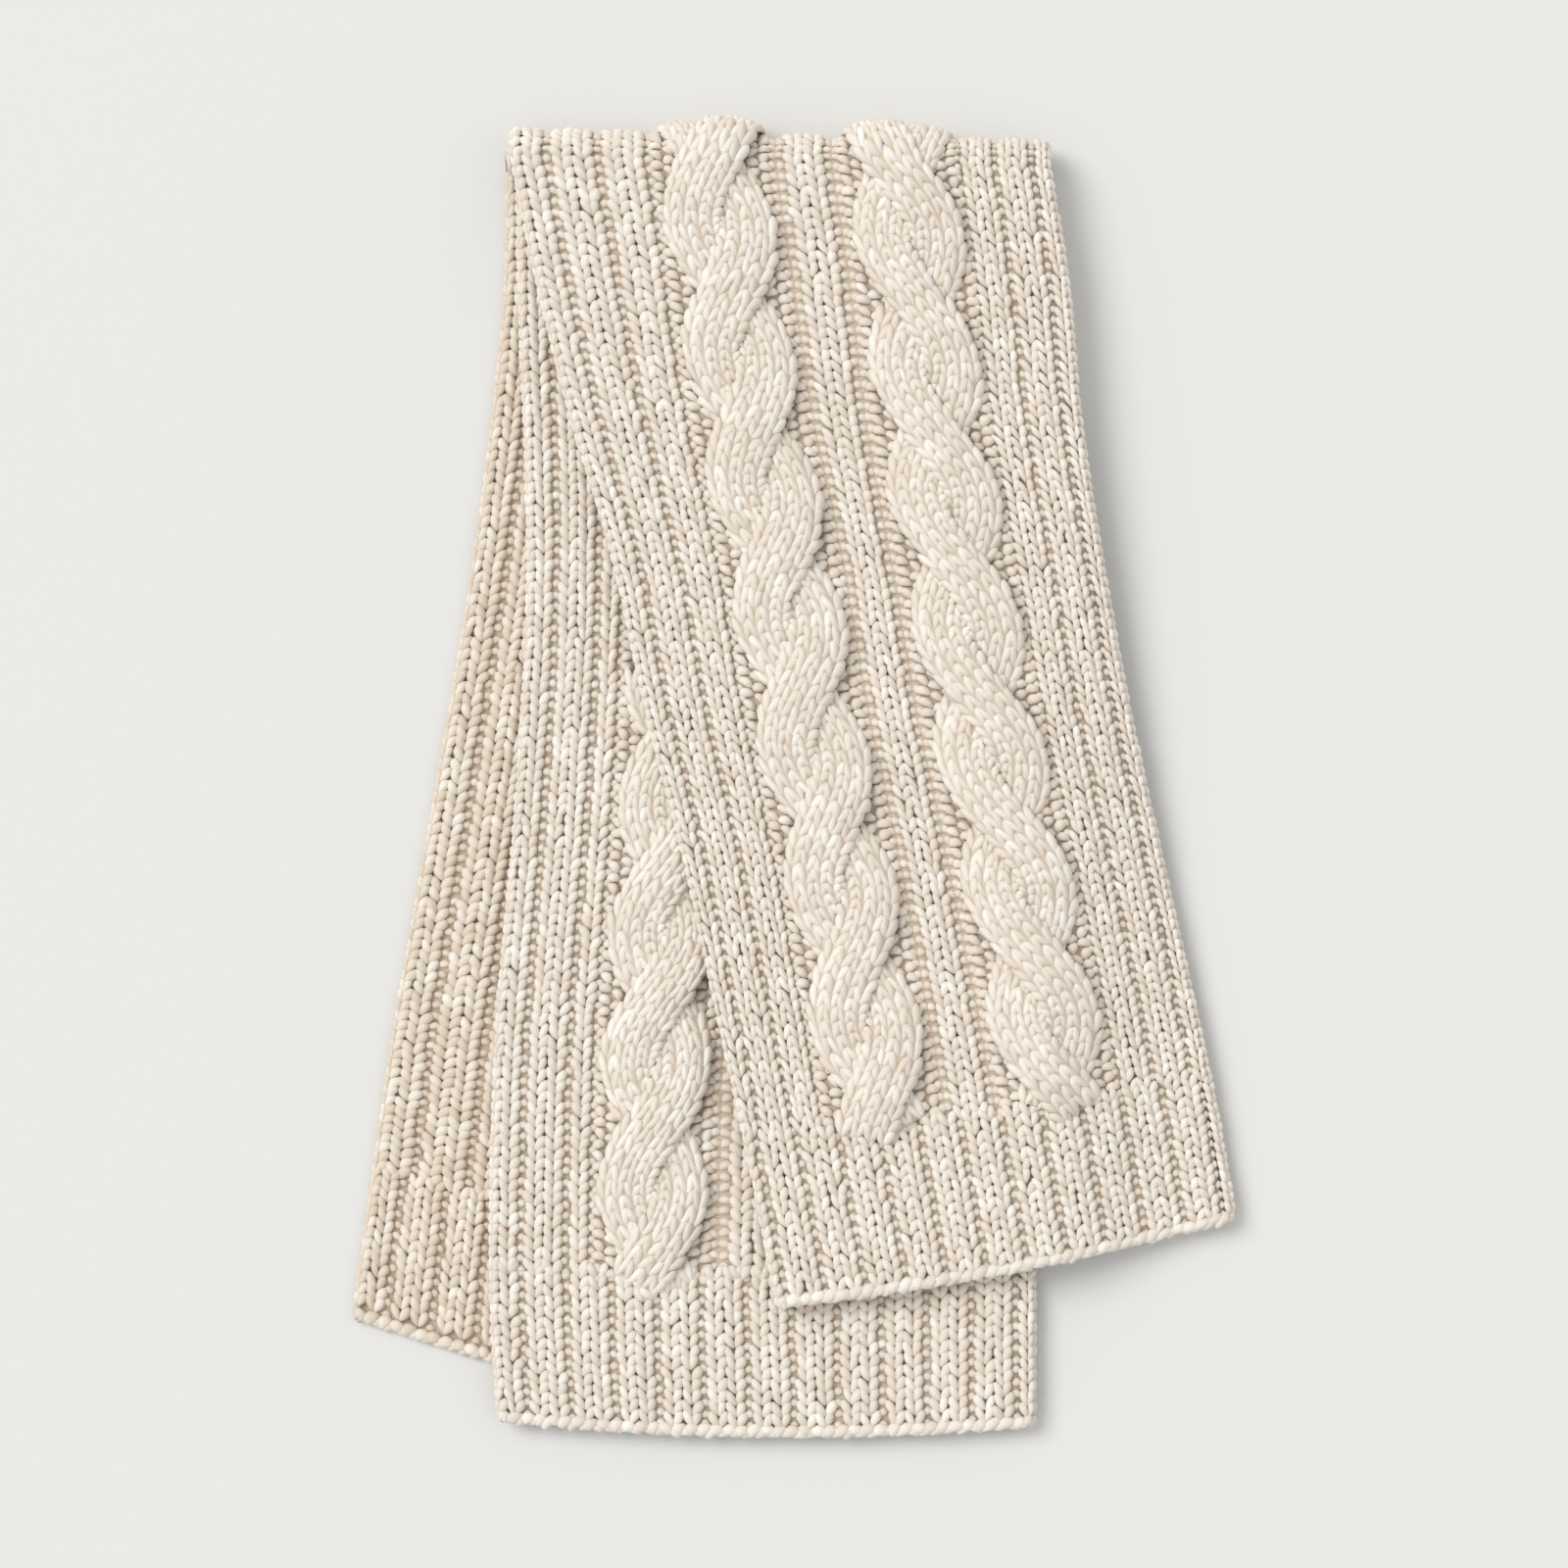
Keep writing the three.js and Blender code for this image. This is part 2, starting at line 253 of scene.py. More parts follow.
# A leg leans out from its V's foot. Across is to the right, along runs down to the hem.
LEG = spindle(
    [(-0.1, 1.6, -2.9), (0.35, 0.4, -1.7), (1.3, -1.4, -0.55), (2.35, -3.2, -0.05), (3.2, -4.8, -0.25),
     (3.7, -6.2, -1.2), (3.8, -7.0, -2.6)],
    [1.25, 2.0, 2.35, 2.35, 1.75],
)
BUMP = spindle(
    [(-4.1, 0.9, -2.2), (-3.2, 0.4, -1.0), (-1.6, -0.2, -0.1), (0.0, -0.4, 0.2), (1.6, -0.2, -0.1),
     (3.2, 0.4, -1.0), (4.1, 0.9, -2.2)],
    [1.5, 2.05, 2.25, 2.05, 1.5],
)
print("a leg has", len(LEG[1]), "faces")


# %% [markdown]
# ## Laying stitches on a layer
# A batch holds one row of numbers for each stitch: where it goes, which way it leans, how big it is. The
# batch is laid in one step, and each stitch keeps a tint of its own, because hand-spun yarn is never one
# colour. Stitches that lie low get a darker tint on top of that, which is painted shade. The tint is
# stored on the mesh for the material to read.

# %% Batches of stitches
JITTER = 0.22                   # how far a stitch strays, in mm
GROW_SPREAD = 0.07
SPIN_SPREAD = 0.06
TINT_SPREAD = 0.22
TINT_MIDDLE = 0.5
TINT_MOST = 1.2


def lay(shape, along, across, height, lean=1.0, wide=1.0, long=1.0, spin=0.0, painted_shade=0.0, warp=None):
    """One shape at many places: a across, b along and c height, a row of numbers for each copy. lean is
    -1 for a mirrored copy, and a shade above nought makes the copy's tint darker, which is painted shade
    for stitches that lie low."""
    along, across = np.broadcast_arrays(np.asarray(along, float), np.asarray(across, float))
    count = along.size
    points = shape[0]

    def column(values):
        return np.broadcast_to(values, along.shape).reshape(-1, 1)

    grow = 1 + GROW_SPREAD * rng.standard_normal((count, 1))
    lean, wide, height = column(lean), column(wide), column(height)
    spin = column(spin) + SPIN_SPREAD * rng.standard_normal((count, 1))
    a = points[:, 0] * lean * wide * grow
    b = points[:, 1] * long * np.ones((count, 1))
    turned_a = a * np.cos(spin) - b * np.sin(spin)
    turned_b = a * np.sin(spin) + b * np.cos(spin)
    a = across.reshape(-1, 1) + turned_a + JITTER * rng.standard_normal((count, 1))
    b = along.reshape(-1, 1) + turned_b + JITTER * rng.standard_normal((count, 1))
    c = height + points[:, 2] * grow + 0.5 * JITTER * rng.standard_normal((count, 1))
    # Each copy's tint is a random tone of the yarn plus, for low stitches, a darker painted shade.
    tone_and_painted_shade = TINT_MIDDLE + painted_shade + TINT_SPREAD * rng.standard_normal((count, 1))
    tone_and_painted_shade = np.clip(tone_and_painted_shade, 0, TINT_MOST) * np.ones_like(a)
    flip = (lean < 0)[:, 0]
    return {"b": b, "a": a, "c": c, "tone_and_painted_shade": tone_and_painted_shade, "faces": shape[1], "flip": flip, "warp": warp}


def mesh_object(name, points, faces, tone_and_painted_shade):
    """A smooth mesh object at the origin. The points are in mm, and each has a tint, which for low stitches
    holds painted shade too.
    """
    mesh = bpy.data.meshes.new(name)
    mesh.from_pydata(points * MM, [], faces)
    attribute = mesh.attributes.new("tone_and_painted_shade", "FLOAT", "POINT")
    attribute.data.foreach_set("value", np.asarray(tone_and_painted_shade, dtype=np.float32))
    mesh.shade_smooth()
    obj = bpy.data.objects.new(name, mesh)
    bpy.context.collection.objects.link(obj)
    return obj


def knit(name, layer, batches):
    """Joins batches of stitches on one layer into one mesh."""
    all_points, all_faces, all_tones_and_shade, start = [], [], [], 0
    for batch in batches:
        a, b, c = batch["a"], batch["b"], batch["c"]
        if batch["warp"] is not None:
            a, b, c = batch["warp"](a, b, c)
        points = layer.at(b.ravel(), a.ravel(), c.ravel())
        count, each = a.shape
        quads = batch["faces"]
        faces = np.broadcast_to(quads, (count, *quads.shape)).copy()
        # A mirrored copy would face inwards, so its faces are turned round.
        faces[batch["flip"]] = faces[batch["flip"]][:, :, ::-1]
        faces += (np.arange(count) * each).reshape(-1, 1, 1) + start
        all_points.append(points)
        all_tones_and_shade.append(batch["tone_and_painted_shade"].ravel())
        all_faces.append(faces.reshape(-1, 4))
        start += count * each
    faces = [tuple(dict.fromkeys(f)) for f in np.concatenate(all_faces).tolist()]
    obj = mesh_object(name, np.concatenate(all_points), faces, np.concatenate(all_tones_and_shade))
    triangles = sum(len(f) - 2 for f in faces)
    print(f"{name}: {triangles} triangles")
    return obj


# %% [markdown]
# ## Knitted columns
# Ribbing is two knit columns and a sunken purl column, over and over. The chart below gives the columns
# across a band from left to right, k for knit and p for purl, with their widths. A band is stretched to
# the width that it has on the layer, as knitting stretches.

# %% Columns
KNIT_WIDE = 8.6
PURL_WIDE = 4.2
CREST = -1.7                    # heights are from the layer's face
VALLEY = -4.5
OUTER_DROP = 0.6                # the legs beside a purl column roll down to it
FOOT_APART = 0.1                # from the column's middle to the foot of a leg
LEG_WIDE = 0.9
VALLEY_WIDE = 0.7
VALLEY_TILT = 0.2
# Painted shade: the purl bumps down in the valleys between ribs get a darker tint.
VALLEY_PAINTED_SHADE = 0.3
STRETCH_RANGE = (0.8, 1.3)


def column_batches(chart, first, last, left, right, shift=0.0, keep=None):
    """Stitches of a band of columns between two places along. left and right give the band's sides, and
    keep says which stitches are made."""
    rows = np.arange(first, last, ROW) + shift
    widths = np.array([KNIT_WIDE if kind == "k" else PURL_WIDE for kind in chart])
    edges = np.concatenate([[0], np.cumsum(widths)])
    low, high = left(rows), right(rows)
    stretch = (high - low) / edges[-1]
    batches = []
    for i, kind in enumerate(chart):
        centre = low + (edges[i] + widths[i] / 2) * stretch
        use = np.ones_like(rows, bool) if keep is None else keep(rows, centre)
        r, c, s = rows[use], centre[use], np.clip(stretch[use], *STRETCH_RANGE)
        if not len(r):
            continue
        if kind == "k":
            rib_left = i > 0 and chart[i - 1] == "k"
            rib_right = i + 1 < len(chart) and chart[i + 1] == "k"
            for side, inner_leg in ((-1, rib_left), (1, rib_right)):
                low_by = 0.0 if inner_leg else OUTER_DROP
                batches.append(lay(LEG, r, c + side * FOOT_APART, CREST - low_by, lean=side,
                                   wide=LEG_WIDE * s))
        else:
            tilt = VALLEY_TILT * np.where(np.arange(len(r)) % 2, 1, -1)
            batches.append(lay(BUMP, r, c, VALLEY, wide=VALLEY_WIDE * s, spin=tilt, painted_shade=VALLEY_PAINTED_SHADE))
    return batches


def at_across(value):
    """A side of a band that stays at one distance from the layer's left edge."""
    return lambda rows: np.full_like(rows, value)


def right_side(layer, extra=0.0):
    """The layer's right side, or what rolls on past it."""
    return lambda rows: layer.width(rows) + extra


# %% [markdown]
# ## Cables
# A rope cable is eight knit columns: four cross over the other four every ten rows or so, always to the
# same side. Each four make a flat strand that swings from side to side and dips under the other, which
# is a flattened helix. The stitches are made straight and then bent onto their strand. A soft core fills
# the strand under them, and a ground of slanted purl bumps lies on both sides.

# %% Cable strands
# line gives the middle of the cable across, crossing is the length from one crossing to the next, offset
# is where one of them lies, and way is the side that the upper strand goes to.
Cable = namedtuple("Cable", "layer line first last crossing offset way")

SWAY = 14.0                     # how far a strand swings to either side
STRAND_LIFT = 3.0
STRAND_BASE = 1.4
STRAND_CROWN = 4.8
CROWN_POWER = 2.2
CROWN_REACH = 1.15
STRAND_HALF = 14.8              # half a strand's width
STRAND_COLUMNS = 4
STRAND_COLUMN = 6.9
CABLE_ROW = 6.6
CABLE_RAISE = 0.3
CABLE_LEG_WIDE = 0.86
CABLE_LEG_LONG = 1.18
CABLE_FADE = 30.0               # a cable sinks into its hem over this length


def strand_warp(cable, side):
    """Bends straight stitches onto one strand. a is across the strand, b along the cable."""
    def warp(a, b, c):
        stand = smooth((cable.last + CABLE_FADE / 4 - b) / CABLE_FADE)
        phase = math.pi * (b - cable.offset) / cable.crossing + math.pi / 2 + side * math.pi
        swing = SWAY * np.cos(phase) * cable.way
        slope = -SWAY * np.sin(phase) * cable.way * math.pi / cable.crossing
        norm = np.sqrt(1 + slope ** 2)
        # Where the strands lie side by side, their inner edges stay up and make one broad mound.
        beside = np.where(a * swing < 0, np.abs(np.cos(phase)), 0)
        fall = np.clip(np.abs(a) / STRAND_HALF, 0, CROWN_REACH) ** CROWN_POWER
        crown = STRAND_CROWN * (1 - (1 - beside) * fall)
        height = c + stand * (STRAND_BASE + STRAND_LIFT * np.sin(phase) + crown)
        return cable.line(b) + swing + a / norm, b - a * slope / norm, height
    return warp


def cable_batches(cable):
    batches = []
    rows = np.arange(cable.first, cable.last, CABLE_ROW)
    for side in (0, 1):
        warp = strand_warp(cable, side)
        for column in range(STRAND_COLUMNS):
            across = (column - (STRAND_COLUMNS - 1) / 2) * STRAND_COLUMN
            for lean in (-1, 1):
                batches.append(lay(LEG, rows + 0.5 * CABLE_ROW * side, across, CREST + CABLE_RAISE,
                                   lean=lean, wide=CABLE_LEG_WIDE, long=CABLE_LEG_LONG, warp=warp))
    return batches


GROUND_COLUMNS = (8.0, 14.5, 21.0, 27.5)        # how far from the cable's middle
GROUND = -3.2
GROUND_WIDE = 0.92
GROUND_LONG = 1.12
GROUND_LEANS = (0.1, 0.7)                       # bumps lean less and more by turns
GROUND_LEAN_SPREAD = 0.12
# Painted shade: the sunken purl ground beside a cable gets a darker tint.
GROUND_PAINTED_SHADE = 0.2


def ground_batches(line, first, last, keep=None):
    """The purl ground on both sides of a cable, also where the strands swing away."""
    rows = np.arange(first, last, ROW)
    batches = []
    for side in (-1, 1):
        for i, offset in enumerate(GROUND_COLUMNS):
            r = rows + (i % 2) * ROW / 2
            c = line(r) + side * offset
            use = np.ones_like(r, bool) if keep is None else keep(r, c)
            if use.any():
                tilt = np.where(np.arange(len(r)) % 2, GROUND_LEANS[1], GROUND_LEANS[0])
                tilt = tilt + GROUND_LEAN_SPREAD * rng.standard_normal(len(r))
                batches.append(lay(BUMP, r[use], c[use], GROUND, wide=GROUND_WIDE, long=GROUND_LONG,
                                   spin=-side * tilt[use], painted_shade=GROUND_PAINTED_SHADE))
    return batches


CORE_STEP = 5.0
CORE_RING = 10
CORE_INSET = 2.0
CORE_TOP = -1.7
CORE_BOTTOM = -3.6
CORE_BULGE = 0.4
CORE_TINT = 0.3


def cable_core(name, cable):
    """The soft filling of both strands, just under the stitches."""
    points, faces = [], []
    steps = np.arange(cable.first, cable.last, CORE_STEP)
    angles = [2 * math.pi * k / CORE_RING for k in range(CORE_RING)]
    across = np.array([(STRAND_HALF - CORE_INSET) * math.cos(angle) for angle in angles])
    heights = np.array([(CORE_TOP if math.sin(angle) >= 0 else CORE_BOTTOM) + CORE_BULGE * math.sin(angle)
                        for angle in angles])
    for side in (0, 1):
        warp = strand_warp(cable, side)
        start = side * len(steps) * CORE_RING
        for along in steps:
            a, b, c = warp(across, np.full(CORE_RING, along), heights)
            points.append(cable.layer.at(b, a, c))
        for i in range(len(steps) - 1):
            for k in range(CORE_RING):
                here = start + i * CORE_RING + k
                beside = start + i * CORE_RING + (k + 1) % CORE_RING
                faces.append((here, beside, beside + CORE_RING, here + CORE_RING))
        end = start + (len(steps) - 1) * CORE_RING
        faces.append(tuple(start + k for k in reversed(range(CORE_RING))))
        faces.append(tuple(end + k for k in range(CORE_RING)))
    points = np.concatenate(points)
    return mesh_object(name, points, faces, np.full(len(points), CORE_TINT))


# %% [markdown]
# ## The cast-on edge
# Each hem ends in the cast-on: a chain of slanted loops that closes the columns. Two rows of loops make
# its upper side and a third, lower row gives the edge its thickness.

# %% Cast-on loops
LOOP_STEP = 6.4
LOOP_ROWS = (
    # before the end, shift across, height, wide, long, tilt, spread of the tilt
    (2.4, 0.0, -2.6, 1.05, 1.35, -0.35, 0.25),
    (1.2, 3.2, -3.4, 0.98, 1.2, 0.0, 0.3),
    (1.8, 0.0, -5.0, 1.05, 1.2, -0.2, 0.0),
)


def cast_on_batches(layer, left, right):
    across = np.arange(left, right, LOOP_STEP)
    end = np.full_like(across, layer.length)
    batches = []
    for before, shift, height, wide, long, tilt, spread in LOOP_ROWS:
        if spread:
            tilt = tilt + spread * rng.standard_normal(len(across))
        batches.append(lay(BUMP, end - before, across + shift, height, wide=wide, long=long, spin=tilt))
    return batches


# %% [markdown]
# ## Materials
# The yarn is cream wool with beige fibres spun in. One node group mixes a light and a dark colour from
# three things: the stitch's own tint, which for low stitches holds painted shade too, a soft mottling over
# about a centimetre, and fine fibres, which are its bump too. Wool scatters light and has a soft sheen,
# which is set on the shader itself.

# %% The wool group
PATCH_SCALE = 120.0
PATCH_DETAIL = 3.0
FIBRE_SCALE = 900.0
FIBRE_DETAIL = 4.0
TINT_SHARE = 0.8
FIBRE_SHARE = 0.35
ALL_LIGHT = 0.45                # the sum at which the yarn has its light colour, and its dark one
ALL_DARK = 1.15


def wool_group():
    group = bpy.data.node_groups.new("wool_yarn", "ShaderNodeTree")
    face = group.interface
    face.new_socket("Light", in_out="INPUT", socket_type="NodeSocketColor")
    face.new_socket("Dark", in_out="INPUT", socket_type="NodeSocketColor")
    face.new_socket("Mottle", in_out="INPUT", socket_type="NodeSocketFloat")
    face.new_socket("Color", in_out="OUTPUT", socket_type="NodeSocketColor")
    face.new_socket("Height", in_out="OUTPUT", socket_type="NodeSocketFloat")
    nodes, links = group.nodes, group.links
    given = nodes.new("NodeGroupInput")
    out = nodes.new("NodeGroupOutput")
    coords = nodes.new("ShaderNodeTexCoord")
    tone_and_painted_shade = nodes.new("ShaderNodeAttribute")
    tone_and_painted_shade.attribute_name = "tone_and_painted_shade"

    def noise(scale, detail):
        node = nodes.new("ShaderNodeTexNoise")
        node.inputs["Scale"].default_value = scale
        node.inputs["Detail"].default_value = detail
        links.new(coords.outputs["Object"], node.inputs["Vector"])
        return node.outputs["Fac"]

    def math_node(operation, first, second):
        """first and second are sockets or plain numbers."""
        node = nodes.new("ShaderNodeMath")
        node.operation = operation
        for socket, value in zip(node.inputs, (first, second)):
            if isinstance(value, float):
                socket.default_value = value
            else:
                links.new(value, socket)
        return node.outputs[0]

    fibres = noise(FIBRE_SCALE, FIBRE_DETAIL)
    mottling = math_node("MULTIPLY", noise(PATCH_SCALE, PATCH_DETAIL), given.outputs["Mottle"])
    # The tint is the stitch's random tone together with painted shade for low stitches.
    tone_and_shade_share = math_node("MULTIPLY", tone_and_painted_shade.outputs["Fac"], TINT_SHARE)
    spun_in = math_node("MULTIPLY", fibres, FIBRE_SHARE)
    total = math_node("ADD", math_node("ADD", tone_and_shade_share, mottling), spun_in)
    darkness = nodes.new("ShaderNodeMapRange")
    darkness.inputs["From Min"].default_value = ALL_LIGHT
    darkness.inputs["From Max"].default_value = ALL_DARK
    mix = nodes.new("ShaderNodeMix")
    mix.data_type = "RGBA"
    links.new(total, darkness.inputs["Value"])
    links.new(darkness.outputs["Result"], mix.inputs["Factor"])
    links.new(given.outputs["Light"], mix.inputs["A"])
    links.new(given.outputs["Dark"], mix.inputs["B"])
    links.new(mix.outputs["Result"], out.inputs["Color"])
    links.new(fibres, out.inputs["Height"])
    return group


WOOL = wool_group()


MOTTLE = 0.7
FIBRE_BUMP = 0.0006


def wool(name, light, dark):
    material = bpy.data.materials.new(name)
    material.use_nodes = True
    nodes, links = material.node_tree.nodes, material.node_tree.links
    shader = nodes["Principled BSDF"]
    yarn = nodes.new("ShaderNodeGroup")
    yarn.node_tree = WOOL
    yarn.inputs["Light"].default_value = (*light, 1)
    yarn.inputs["Dark"].default_value = (*dark, 1)
    yarn.inputs["Mottle"].default_value = MOTTLE
    bump = nodes.new("ShaderNodeBump")
    bump.inputs["Strength"].default_value = 0.35
    bump.inputs["Distance"].default_value = FIBRE_BUMP
    links.new(yarn.outputs["Color"], shader.inputs["Base Color"])
    links.new(yarn.outputs["Height"], bump.inputs["Height"])
    links.new(bump.outputs["Normal"], shader.inputs["Normal"])
    shader.inputs["Roughness"].default_value = 0.92
    shader.inputs["Sheen Weight"].default_value = 0.25
    shader.inputs["Sheen Roughness"].default_value = 0.6
    return material


CREAM = wool("cream_wool", (0.91, 0.86, 0.78), (0.76, 0.67, 0.565))
# A darker copy of the cream wool, used for the under tail and the inner layer.
LOWER_LAYER_WOOL = wool("lower_layer_wool", (0.90, 0.83, 0.735), (0.71, 0.60, 0.475))
SHADED = wool("shaded_wool", (0.72, 0.61, 0.48), (0.58, 0.47, 0.35))

# %% [markdown]
# ## The camera, the light and the floor
# The camera looks straight down, as at a thing laid on a table. A long lens keeps the edges upright.
# A sun with a wide disc comes from the upper left, so the soft shadow falls to the right. The rest is an
# even light from all round, and the floor's grey is set so that it comes out nearly white.

# %% Camera, light and floor
CAMERA_HEIGHT = 2.6
VIEW_WIDTH = 0.8
VIEW_MIDDLE = (-5.0, -1.25)     # mm, in the tables' own lengths
SENSOR = 36.0
camera_data = bpy.data.cameras.new("camera")
camera_data.sensor_width = SENSOR
camera_data.lens = SENSOR * CAMERA_HEIGHT / VIEW_WIDTH
camera = bpy.data.objects.new("camera", camera_data)
camera.location = ((VIEW_MIDDLE[0] + SHIFT_X) * MM, (VIEW_MIDDLE[1] + SHIFT_Y) * MM, CAMERA_HEIGHT)
bpy.context.collection.objects.link(camera)
bpy.context.scene.camera = camera

sun_data = bpy.data.lights.new("soft_key", "SUN")
sun_data.energy = 1.7
sun_data.angle = math.radians(32)
sun = bpy.data.objects.new("soft_key", sun_data)
sun.rotation_euler = (math.radians(-22), math.radians(-38), 0)
bpy.context.collection.objects.link(sun)

world = bpy.data.worlds.new("room")
world.use_nodes = True
sky = world.node_tree.nodes["Background"]
sky.inputs["Color"].default_value = (0.97, 0.985, 1.0, 1)
sky.inputs["Strength"].default_value = 0.72
bpy.context.scene.world = world
bpy.context.scene.view_settings.view_transform = "Standard"

bpy.ops.mesh.primitive_plane_add(size=8)
floor = bpy.context.object
floor.name = "floor"
floor_material = bpy.data.materials.new("pale_floor")
floor_material.use_nodes = True
floor_shader = floor_material.node_tree.nodes["Principled BSDF"]
floor_shader.inputs["Base Color"].default_value = (0.755, 0.745, 0.72, 1)
floor_shader.inputs["Roughness"].default_value = 0.8
floor.data.materials.append(floor_material)

# %% [markdown]
# ## The backing sheets
# Under the stitches each layer is one thin closed sheet that follows the folds. It is what the stitches
# lie on, closes the gaps between them and gives the cloth its cut.

# %% Backing sheets
SHEET_TOP = -4.7                # heights are from the layer's face
SHEET_BOTTOM = -6.7
SHEET_STEP = 8.0
SHEET_ACROSS = 40
# Painted shade: the backing under the stitches gets a dark tint, so the gaps between stitches look shaded.
SHEET_SHADE_TINT = 0.7
SHORT_OF_END = -2.2


def backing(name, layer, first, margin_left, margin_right, past_end=SHORT_OF_END):
    """A closed sheet: one ring of points for each step along, upper side first, then back below."""
    end = layer.length + past_end
    steps = np.concatenate([np.arange(first, end, SHEET_STEP), [end]])
    points, faces = [], []
    for along in steps:
        width = float(layer.width(np.array([along]))[0])
        across = np.linspace(margin_left, width - margin_right, SHEET_ACROSS)
        line = np.full(SHEET_ACROSS, along)
        points.append(layer.at(line, across, np.full(SHEET_ACROSS, SHEET_TOP)))
        points.append(layer.at(line, across[::-1], np.full(SHEET_ACROSS, SHEET_BOTTOM)))
    ring = 2 * SHEET_ACROSS
    for i in range(len(steps) - 1):
        for k in range(ring):
            here, beside = i * ring + k, i * ring + (k + 1) % ring
            faces.append((here, here + ring, beside + ring, beside))
    last = (len(steps) - 1) * ring
    for k in range(SHEET_ACROSS - 1):
        faces.append((k, k + 1, ring - 2 - k, ring - 1 - k))
        faces.append((last + k, last + ring - 1 - k, last + ring - 2 - k, last + k + 1))
    points = np.concatenate(points)
    return mesh_object(name, points, faces, np.full(len(points), SHEET_SHADE_TINT))


FOLD_ARC = math.pi * STACK / 2
INNER_ARC = math.pi * inner.radius
SHEET_START = 0.5               # where a sheet starts, after the end of the layer
INNER_INSET = (2.0, 3.0)        # the inner sheet stays back from both sides
front_sheet = backing("front_backing", front, -FOLD_ARC + SHEET_START, EDGE, HOOK)
inner_sheet = backing("inner_backing", inner, -INNER_ARC + SHEET_START, EDGE + INNER_INSET[0],
                      HOOK + INNER_INSET[1], past_end=0.5)
middle_sheet = backing("middle_backing", middle, SHEET_START, EDGE, HOOK)
under_sheet = backing("under_backing", under, SHEET_START, EDGE, EDGE)

# %% [markdown]
# ## The front tail
# From its left edge the front has ribbed columns, a cable, a purl and knit panel, the second cable, and
# ribbed columns again, the last of which roll over the lengthwise fold. All of it runs on round the
# crosswise fold to the underside.

# %% Front: cables and columns
BAND = 28.5                     # from a cable's middle line to the columns on either side
PAST_LEFT = -3.0                # the first column rolls over the left edge
FRONT_PAST_LEFT = -3.5
CAST_ON_LEFT = -2.0
END_GAP = 2.0                   # columns stop this far before the end, where the cast-on takes over
FRONT_START = -FOLD_ARC + 3
LEFT_CABLE_PLACE = (0.371, 0.30)      # share of the width, at the top and at the hem
RIGHT_CABLE_PLACE = (0.715, 0.672)


def front_line(top, bottom):
    """The middle line of a cable, which wanders across the front on its way down."""
    def line(along):
        part = np.clip(along / front.hem, 0, 1)
        return (top + (bottom - top) * part) * front.width(along)
    return line


def beside(line, distance):
    """A side of a band that keeps its distance from a cable's middle line."""
    return lambda along: line(along) + distance


def end_width(layer):
    return float(layer.width(np.array([layer.length]))[0])


left_line = front_line(*LEFT_CABLE_PLACE)
right_line = front_line(*RIGHT_CABLE_PLACE)
CROSSING = 67.5
CABLE_END = front.hem + 2
left_cable = Cable(front, left_line, FRONT_START, CABLE_END, CROSSING, 2.0, 1)
right_cable = Cable(front, right_line, FRONT_START, CABLE_END, CROSSING, 6.0, -1)

left_band = column_batches("kkpkkpkkp", FRONT_START, front.hem, at_across(FRONT_PAST_LEFT),
                           beside(left_line, -BAND))
centre_band = column_batches("ppkkpp", FRONT_START, front.hem, beside(left_line, BAND),
                             beside(right_line, -BAND), shift=1.5)
right_band = column_batches("pkkpkkpkkpk", FRONT_START, front.hem, beside(right_line, BAND),
                            right_side(front, 17.0), shift=0.8)
front_hem = column_batches("k" + "pkk" * 12 + "p", front.hem, front.length - END_GAP, at_across(PAST_LEFT),
                           right_side(front, 16.0))
front_hem += cast_on_batches(front, CAST_ON_LEFT, end_width(front) + 12)
front_left = knit("front_left_ribs", front, left_band)
front_middle = knit("front_middle_panel", front, centre_band)
front_right = knit("front_right_ribs", front, right_band)
front_ribbing = knit("front_ribbed_hem", front, front_hem)
ground_left = knit("front_left_ground", front, ground_batches(left_line, FRONT_START, front.hem))
ground_right = knit("front_right_ground", front, ground_batches(right_line, FRONT_START, front.hem))
cable_left = knit("front_left_cable", front, cable_batches(left_cable))
cable_right = knit("front_right_cable", front, cable_batches(right_cable))
core_left = cable_core("front_left_core", left_cable)
core_right = cable_core("front_right_core", right_cable)

# %% [markdown]
# ## The middle tail
# It shows to the left of the front and below it. Only the stitches that can be seen from above or from
# the sides are made: the rest lies under the front.

# %% Middle: what shows
MIDDLE_START = 2.0
MIDDLE_PLACE = 0.30             # the cable's middle line, as a share of the width
MIDDLE_CABLE_START = 262.0      # further up it lies under the front
HIDDEN_BY = 26.0                # stitches are made this far in under the front
RIGHT_STRIP = 16.0              # along the lengthwise fold all are made
SEEN_BELOW = -190.0             # and below this y, where the front ends


def edge_x(table, y):
    """The left edge of a layer at y."""
    order = np.argsort(table[:, 1])
    return np.interp(y, table[order, 1], table[order, 0])


def middle_seen(rows, across):
    """True where the middle layer isn't deep under the front."""
    spot = middle.at(rows, across, np.zeros_like(rows))
    x, y = spot[:, 0] - SHIFT_X, spot[:, 1] - SHIFT_Y
    left = x < edge_x(FRONT, y) + HIDDEN_BY
    right = middle.width(rows) - across < RIGHT_STRIP
    return left | right | (y < SEEN_BELOW)


def middle_line(along):
    return MIDDLE_PLACE * middle.width(along)


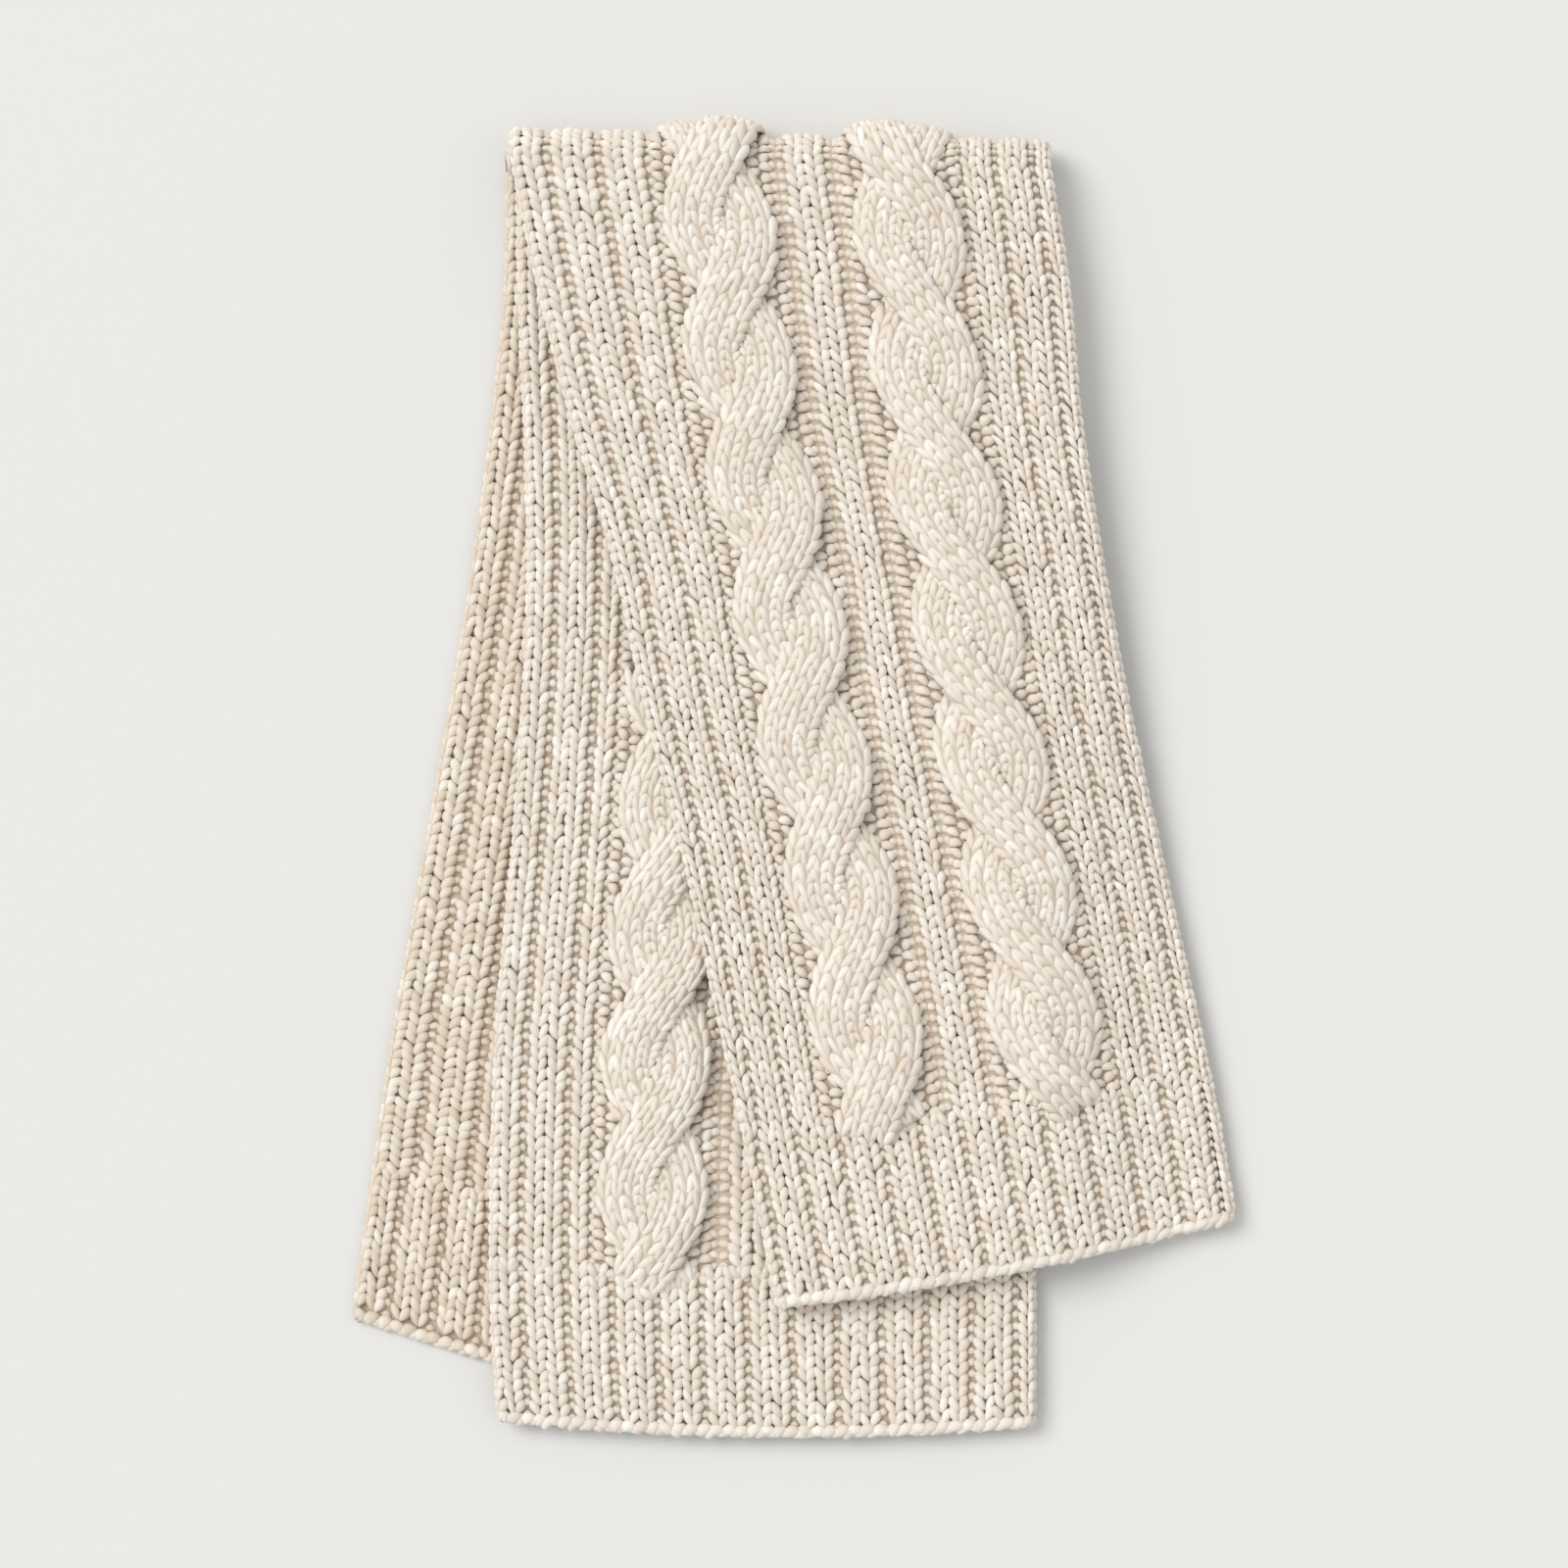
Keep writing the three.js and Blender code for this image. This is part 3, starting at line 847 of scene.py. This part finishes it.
middle_cable = Cable(middle, middle_line, MIDDLE_CABLE_START, middle.hem + 2, 65.0, 32.0, 1)
middle_fold = right_side(middle, 14.0)
middle_body = column_batches("kkpkkpkp", MIDDLE_START, middle.hem, at_across(PAST_LEFT),
                             beside(middle_line, -BAND), keep=middle_seen)
middle_body += column_batches("ppkkppkkpkkpkkpkkpkk", MIDDLE_START, middle.hem, beside(middle_line, BAND),
                              middle_fold, shift=1.2, keep=middle_seen)
middle_hem = column_batches("kkp" * 13, middle.hem, middle.length - END_GAP, at_across(PAST_LEFT),
                            middle_fold)
middle_hem += cast_on_batches(middle, CAST_ON_LEFT, end_width(middle) + 10)
middle_body += ground_batches(middle_line, MIDDLE_START, middle.hem, keep=middle_seen)
middle_ribs = knit("middle_ribs", middle, middle_body)
middle_ribbing = knit("middle_ribbed_hem", middle, middle_hem)
cable_middle = knit("middle_cable_stitches", middle, cable_batches(middle_cable))
core_middle = cable_core("middle_cable_core", middle_cable)

# %% [markdown]
# ## The under tail
# Ribbed columns fan out to the left. Its hem shows at the lower left. Of the inner layer of the front only
# the cast-on shows, as a thin line under the front's hem.

# %% Under and inner: what shows
UNDER_START = 2.0
UNDER_HIDDEN_BY = 12.0          # stitches are made this far in under the middle layer
UNDER_CAST_ON = 110.0           # across, from the left edge to where the middle layer hides the hem
INNER_CAST_ON = (6.0, 228.0)


def under_seen(rows, across):
    """True where the under layer isn't deep under the middle one."""
    spot = under.at(rows, across, np.zeros_like(rows))
    x, y = spot[:, 0] - SHIFT_X, spot[:, 1] - SHIFT_Y
    return x < edge_x(MIDDLE, y) + UNDER_HIDDEN_BY


under_body = column_batches("kkp" * 12, UNDER_START, under.hem, at_across(PAST_LEFT), right_side(under),
                            keep=under_seen)
under_hem = column_batches("kkp" * 15, under.hem, under.length - END_GAP, at_across(PAST_LEFT),
                           right_side(under), keep=under_seen)
under_hem += cast_on_batches(under, CAST_ON_LEFT, UNDER_CAST_ON)
under_ribs = knit("under_ribs", under, under_body)
under_ribbing = knit("under_ribbed_hem", under, under_hem)
inner_edge = knit("inner_cast_on", inner, cast_on_batches(inner, *INNER_CAST_ON))

# %% [markdown]
# ## Bodies, sheets and finishes
# The cloth is one body. Each backing stands for the plain layer of the frame, which is hidden, and the
# stitches on it go with it.

FRONT_PIECES = [front_left, front_middle, front_right, front_ribbing, cable_left, cable_right,
                core_left, core_right, ground_left, ground_right]
MIDDLE_PIECES = [middle_ribs, middle_ribbing, cable_middle, core_middle]
UNDER_PIECES = [under_ribs, under_ribbing]

for piece in [front_sheet, middle_sheet, *FRONT_PIECES, *MIDDLE_PIECES]:
    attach(piece, "root")
    piece.data.materials.append(CREAM)
for piece in [under_sheet, inner_sheet, inner_edge, *UNDER_PIECES]:
    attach(piece, "root")
    piece.data.materials.append(LOWER_LAYER_WOOL)
# What lies under the stitches is darker, so that the gaps between them read as shade.
for piece in [front_sheet, inner_sheet, middle_sheet, under_sheet, core_left, core_right, core_middle]:
    piece.data.materials[0] = SHADED

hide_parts("front_tail", "front_hem")
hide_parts("front_inner")
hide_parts("middle_tail", "middle_hem")
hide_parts("under_tail", "under_hem")
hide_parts("front_cable_left")
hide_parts("front_cable_right")
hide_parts("middle_cable")
